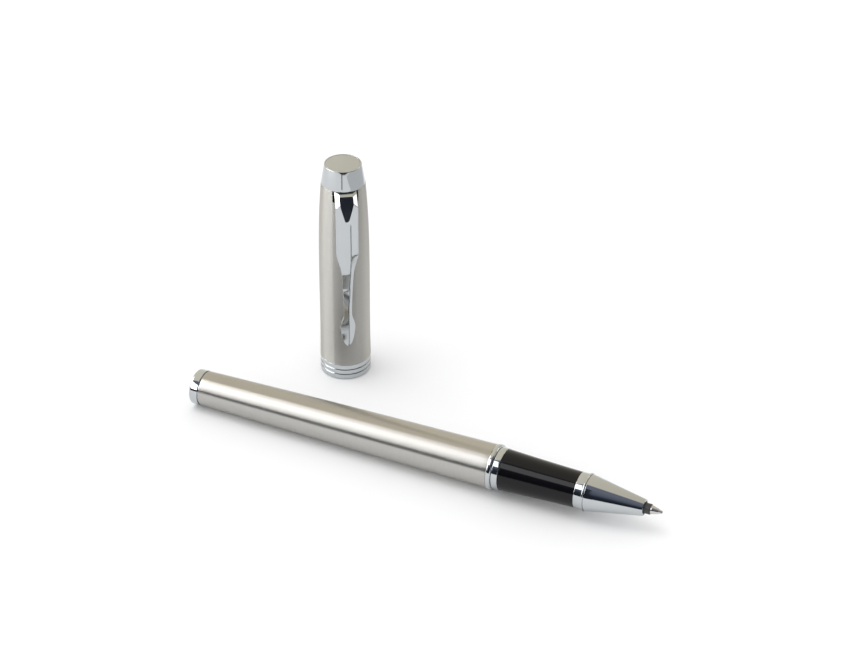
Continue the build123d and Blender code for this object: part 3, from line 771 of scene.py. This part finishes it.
def clip_sections(shape):
    """Sections of the clip from root to tip: (half width, front points, back points)."""
    def shelf_point(share, kind, inset, run):
        lip = shape.front(share, FOLD_DROP, kind) - FOLD[0][0]
        return ROOT_R + (lip - ROOT_R) * run, -inset

    sections = []
    top_row = shape.row(FOLD_DROP)
    back_lip = shape.back(ROOT_THICK) - BACK_ROUND
    steps = 6
    for k in range(steps + 1):
        front = [(*shelf_point(share, kind, inset, k / steps), share)
                 for share, kind, inset in top_row]
        back = [(ROOT_R + (back_lip - ROOT_R) * k / steps, -ROOT_THICK, share)
                for share, kind, inset in top_row]
        sections.append((BLADE_HALF, front, back))
    for k, (inward, down) in enumerate(FOLD[1:], 1):
        angle = math.pi / 2 * k / (len(FOLD) - 1)
        front = []
        for share, kind, inset in top_row:
            front.append((shape.front(share, FOLD_DROP, kind) - inward - inset * math.sin(angle),
                          -down - inset * math.cos(angle), share))
        back = [(back_lip + BACK_ROUND * math.sin(angle),
                 -ROOT_THICK - BACK_ROUND * (1 - math.cos(angle)), share)
                for share, kind, inset in top_row]
        sections.append((BLADE_HALF, front, back))
    drop = FOLD_DROP
    while drop < shape.length - 0.01:
        fine = drop < RAMP_END + 2 or drop > shape.taper_start - 1
        drop = min(drop + (FINE_ROW if fine else COARSE_ROW), shape.length)
        low = drop
        if drop < BACK_CATCH_UP:
            low = max(drop, ROOT_THICK + BACK_ROUND + BACK_PACE * (drop - FOLD_DROP))
        front = [(shape.front(share, drop, kind) - inset, -drop, share)
                 for share, kind, inset in shape.row(drop)]
        back = [(shape.back(low), -low, share) for share, kind, inset in shape.row(drop)]
        sections.append((shape.half_width(drop), front, back))
    return sections


def build_clip():
    """Clip arm, skinned from section to section and closed at its root and tip."""
    gauge = Gauge("clip", CAP)
    shape = ClipShape(gauge.high, gauge.low)
    mesh = bmesh.new()
    rings = []
    for half, front, back in clip_sections(shape):
        rings.append([[mesh.verts.new((radius, share * half, gauge.high + height))
                       for radius, height, share in side] for side in (front, back)])
    last = len(rings[0][0]) - 1
    for (front_a, back_a), (front_b, back_b) in zip(rings, rings[1:]):
        for c in range(last):
            mesh.faces.new((front_a[c], front_a[c + 1], front_b[c + 1], front_b[c]))
            mesh.faces.new((back_a[c + 1], back_a[c], back_b[c], back_b[c + 1]))
        mesh.faces.new((front_a[0], front_b[0], back_b[0], back_a[0]))
        mesh.faces.new((front_b[last], front_a[last], back_a[last], back_b[last]))
    for front, back in (rings[0], rings[-1]):
        for c in range(last):
            mesh.faces.new((front[c], back[c], back[c + 1], front[c + 1]))
    piece = finish_mesh("clip_arm", mesh, CAP, CLIP_SHARP_ANGLE)
    piece.data.materials.append(CHROME)
    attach(piece, "clip")
    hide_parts("clip")


# ---- CAD nodes that stay, with their materials ---------------------------------------------
KEPT = {
    "tail_bush": BLACK_PLASTIC,
    "refill_spring": SPRING_STEEL,
    "nose_bush": BLACK_PLASTIC,
    "refill_tube": REFILL_PLASTIC,
    "refill_end_plug": BLACK_PLASTIC,
    "ink_reservoir": FIBRE,
    "refill_feed": REFILL_PLASTIC,
    "ink_wick": FIBRE,
    "inner_cap": BLACK_PLASTIC,
    # painted shade: the crown bush's brass is painted near black
    "crown_bush": NOTCH_SHADE_BRASS,
    "clip_anchor": SPRING_STEEL,
    "crown_screw": SPRING_STEEL,
}


def dress_kept_nodes():
    """Gives the inner pieces that keep their CAD mesh their own materials; the crown bush's brass is painted dark
    as shade.
    """
    for name, material in KEPT.items():
        materials = frame["nodes"][name].data.materials
        materials.clear()
        materials.append(material)


# ---- studio --------------------------------------------------------------------------------
def build_floor():
    """White paper under the set, a hair below it so that the two don't flicker."""
    size = 1.6
    height = -0.00002
    floor = link_sheet("floor", [(-size, -size, height), (size, -size, height),
                                 (size, size, height), (-size, size, height)])
    nodes = Nodes("paper")
    grain = nodes.noise(nodes.stretched(), 30, 2.0)
    nodes.set(Base_Color=nodes.blend(grain, (0.88, 0.88, 0.885), (0.90, 0.90, 0.905)),
              Roughness=0.9, Specular_IOR_Level=0.1)
    floor.data.materials.append(nodes.material)


def softbox(name, centre, target, size, radiance, mirrored=True, lights_floor=True,
            spread=180):
    """Area light set by how bright its face looks, and whether metal and matt surfaces see it."""
    light = bpy.data.lights.new(name, "AREA")
    light.shape = "RECTANGLE"
    light.size, light.size_y = size
    light.energy = 4 * size[0] * size[1] * radiance
    light.spread = math.radians(spread)
    lamp = bpy.data.objects.new(name, light)
    lamp.location = centre
    lamp.visible_glossy = mirrored
    lamp.visible_diffuse = lights_floor
    lamp.rotation_mode = "QUATERNION"
    lamp.rotation_quaternion = (Vector(target) - Vector(centre)).to_track_quat("-Z", "Y")
    bpy.context.scene.collection.objects.link(lamp)


def card(name, corners, dark, light):
    """Matt card that only reflections see."""
    sheet = link_sheet(name, corners)
    nodes = Nodes(name + "_felt")
    nap = nodes.noise(nodes.stretched(), 900, 2.0)
    nodes.set(Base_Color=nodes.blend(nap, dark, light),
              Roughness=1.0, Specular_IOR_Level=0.0)
    sheet.data.materials.append(nodes.material)
    sheet.visible_camera = False
    sheet.visible_diffuse = False
    sheet.visible_shadow = False


def build_world():
    """Room seen in the metal: dark in front, warm grey behind; plain white to everything else."""
    world = bpy.data.worlds.new("room")
    bpy.context.scene.world = world
    world.use_nodes = True
    nodes = NodeTree(world.node_tree)
    nodes.tree.nodes.clear()
    away = (-0.41, 0.912, 0.0)   # level direction from the camera to the set
    where = nodes.add("ShaderNodeTexCoord").outputs["Generated"]
    parts = nodes.add("ShaderNodeSeparateXYZ", {0: where})
    depth = nodes.add("ShaderNodeVectorMath", {0: where, 1: away},
                      operation="DOT_PRODUCT").outputs["Value"]
    behind = nodes.add("ShaderNodeMapRange", {"Value": depth, "From Min": -0.15, "From Max": -0.09})
    dim = nodes.add("ShaderNodeValToRGB", {"Fac": parts.outputs["Z"]})
    stops = dim.color_ramp.elements
    stops[0].position, stops[0].color = 0.0, (0.016, 0.022, 0.028, 1)
    stops[1].position, stops[1].color = 0.9, (0.20, 0.215, 0.27, 1)
    low_front = stops.new(0.35)
    low_front.color = (0.022, 0.030, 0.045, 1)
    high_front = stops.new(0.62)
    high_front.color = (0.13, 0.145, 0.19, 1)
    side = nodes.add("ShaderNodeMapRange", {"Value": parts.outputs["X"], "From Min": -0.5,
                                            "From Max": 0.7})
    wall = nodes.add("ShaderNodeMix", {"Factor": side.outputs["Result"], "A": (0.97, 0.90, 0.76, 1),
                                       "B": (0.60, 0.55, 0.42, 1)}, data_type="RGBA")
    both = nodes.add("ShaderNodeMix", {"Factor": behind.outputs["Result"],
                                       "A": dim.outputs["Color"], "B": wall.outputs["Result"]},
                     data_type="RGBA")
    room = nodes.add("ShaderNodeBackground", {"Color": both.outputs["Result"], "Strength": 1.0})
    fill = nodes.add("ShaderNodeBackground", {"Color": (1, 1, 1, 1), "Strength": 1.02})
    path = nodes.add("ShaderNodeLightPath")
    paper = nodes.add("ShaderNodeBackground", {"Color": (1, 1, 1, 1), "Strength": 1.0})
    seen = nodes.add("ShaderNodeMixShader", {0: path.outputs["Is Camera Ray"],
                                             1: fill.outputs[0], 2: paper.outputs[0]})
    mirrored = nodes.add("ShaderNodeMixShader", {0: path.outputs["Is Glossy Ray"],
                                                 1: seen.outputs[0], 2: room.outputs[0]})
    nodes.add("ShaderNodeOutputWorld", {"Surface": mirrored.outputs[0]})


def build_lights():
    """Softboxes, and the cards that give the polished pieces their dark and grey bands; the grey band is a painted
    shadow.
    """
    softbox("overhead_box", (-0.22, -0.48, 0.6), (-0.22, -0.48, 0), (0.24, 0.46), 1.9,
            lights_floor=False)
    softbox("left_box", (-0.62, -0.62, 0.55), (0.38, -0.62, 0.55), (1.35, 0.6), 3.8,
            lights_floor=False)
    softbox("rear_box", (0.55, 0.64, 0.34), (-0.03, 0.01, 0.05), (0.3, 0.26), 1.3,
            lights_floor=False)
    softbox("key_box", (-0.62, -0.21, 1.9), (0, 0, 0), (1.1, 1.1), 1.7, mirrored=False)
    softbox("left_wash", (-0.5, -0.3, 0.5), (-0.5, -0.3, 0), (0.3, 0.3), 1.3,
            mirrored=False, spread=70)
    lift = UP * 0.0005

    def on_floor(out, side):
        """Place on the floor, from the cap: out where the clip faces, and to the clip's right."""
        return CAP_POINT + CLIP_OUT * out + UP.cross(CLIP_OUT) * side + lift

    felt = ((0.012, 0.013, 0.02), (0.03, 0.032, 0.045))
    card("front_flag", [on_floor(0.5, -1.5), on_floor(0.5, 1.5), on_floor(2.0, 1.5),
                        on_floor(2.0, -1.5)], *felt)
    # grey card at the cap's right that only the metal sees: a painted shadow, standing in for the cap's shadow on
    # the floor
    card("cap_shadow_card", [on_floor(-0.35, 0.10), on_floor(-0.35, 0.7), on_floor(0.42, 0.7),
                       on_floor(0.42, 0.10)], (0.58, 0.585, 0.59), (0.62, 0.625, 0.63))
    towards_camera = Vector((0.358, -0.934, 0))
    pole = CAP_POINT + towards_camera * 0.21 + lift
    half = UP.cross(towards_camera) * 0.008
    top = UP * 0.25
    card("stand_flag", [pole - half, pole + half, pole + half + top, pole - half + top], *felt)


def build_camera():
    """Looks down on the pen from its nose side, as the set is photographed."""
    bearing = math.radians(25.67)
    height = math.radians(33.86)
    back = Vector((math.sin(bearing) * math.cos(height), -math.cos(bearing) * math.cos(height),
                   math.sin(height)))
    data = bpy.data.cameras.new("camera")
    data.sensor_width = 36.0
    data.lens = 101.5
    data.shift_x = 0.031
    data.clip_start, data.clip_end = 0.01, 20
    camera = bpy.data.objects.new("camera", data)
    camera.location = (0.19632, -0.43591, 0.34937)
    camera.rotation_mode = "QUATERNION"
    camera.rotation_quaternion = (-back).to_track_quat("-Z", "Y")
    bpy.context.scene.collection.objects.link(camera)
    bpy.context.scene.camera = camera


build_barrel()
build_section()
measured_tube("thread_bush", "barrel", "mouth_bush", BRASS)
measured_tube("thread_sleeve", "section", "section_sleeve", BRASS)
build_point()
build_cap_tube()
build_lip_ring()
build_crown()
build_clip()
dress_kept_nodes()
build_floor()
build_world()
build_lights()
build_camera()
bpy.context.scene.view_settings.view_transform = "Standard"
